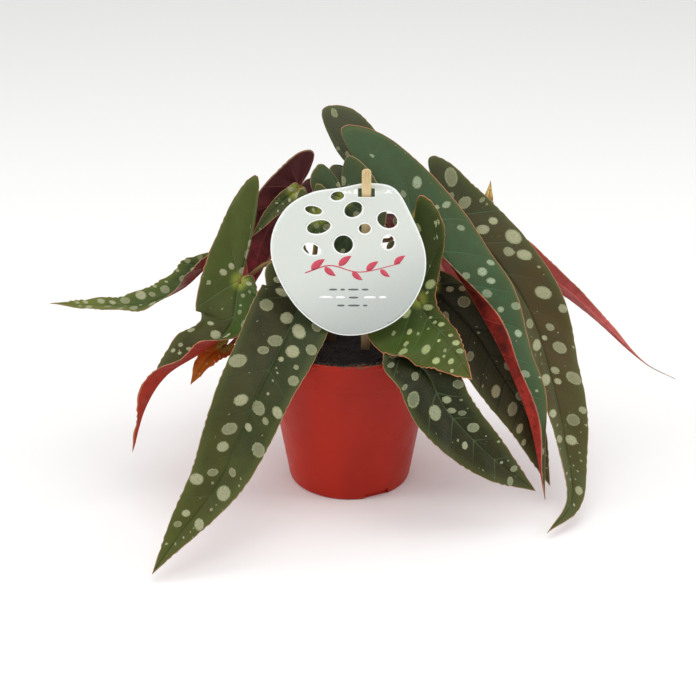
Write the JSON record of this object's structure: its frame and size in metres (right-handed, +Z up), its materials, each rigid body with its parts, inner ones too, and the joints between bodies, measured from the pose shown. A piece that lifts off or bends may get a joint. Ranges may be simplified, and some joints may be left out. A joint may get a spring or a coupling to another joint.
{
  "type": "potted polka dot begonia",
  "caption": "Spotted angel-wing begonia with drooping leaves in a round tapered nursery pot, with a round plant card on a stick.",
  "frame": {"origin": "centre of the pot's foot, on the surface that the pot stands on", "axes": "+Z up along the pot's axis, -Y towards the printed side of the plant card, +X to the right of a viewer who faces the card"},
  "size_m": [0.4483, 0.2828, 0.2545],
  "materials": {
    "pot_plastic": "satin moulded plastic",
    "potting_soil": "damp peat with fine roots",
    "printed_card": "smooth coated card",
    "pale_wood": "planed birch",
    "cane": "smooth green-brown stem",
    "leaf_stalk": "smooth reddish stalk",
    "leaf_dark_green": "satin leaf with pale spots",
    "leaf_teal": "satin leaf with pale spots",
    "leaf_light_green": "satin leaf with pale spots",
    "leaf_underside": "satin crimson underside"
  },
  "bodies": {
    "root": {"cane_back": "cane", "cane_left": "cane", "cane_right": "cane", "card_stick": "pale_wood", "leaf_back_left": "leaf_dark_green", "leaf_back_low": "leaf_dark_green", "leaf_back_right": "leaf_teal", "leaf_behind_card": "leaf_teal", "leaf_behind_card_left": "leaf_dark_green", "leaf_far_left": "leaf_light_green", "leaf_far_right": "leaf_underside", "leaf_front_left": "leaf_dark_green", "leaf_front_right": "leaf_light_green", "leaf_front_right_low": "leaf_dark_green", "leaf_left_folded": "leaf_light_green", "leaf_left_maroon": "leaf_underside", "leaf_left_small": "leaf_dark_green", "leaf_left_young": "leaf_dark_green", "leaf_right_brown": "leaf_dark_green", "leaf_right_outer": "leaf_dark_green", "leaf_right_teal": "leaf_teal", "leaf_right_young": "leaf_light_green", "leaf_top_back": "leaf_teal", "plant_card": "printed_card", "pot": "pot_plastic", "potting_soil": "potting_soil", "stalk_back_left": "leaf_stalk", "stalk_back_low": "leaf_stalk", "stalk_back_right": "leaf_stalk", "stalk_behind_card": "leaf_stalk", "stalk_behind_card_left": "leaf_stalk", "stalk_far_left": "leaf_stalk", "stalk_far_right": "leaf_stalk", "stalk_front_left": "leaf_stalk", "stalk_front_right": "leaf_stalk", "stalk_front_right_low": "leaf_stalk", "stalk_left_folded": "leaf_stalk", "stalk_left_maroon": "leaf_stalk", "stalk_left_small": "leaf_stalk", "stalk_left_young": "leaf_stalk", "stalk_right_brown": "leaf_stalk", "stalk_right_outer": "leaf_stalk", "stalk_right_teal": "leaf_stalk", "stalk_right_young": "leaf_stalk", "stalk_top_back": "leaf_stalk"}
  },
  "joints": []
}
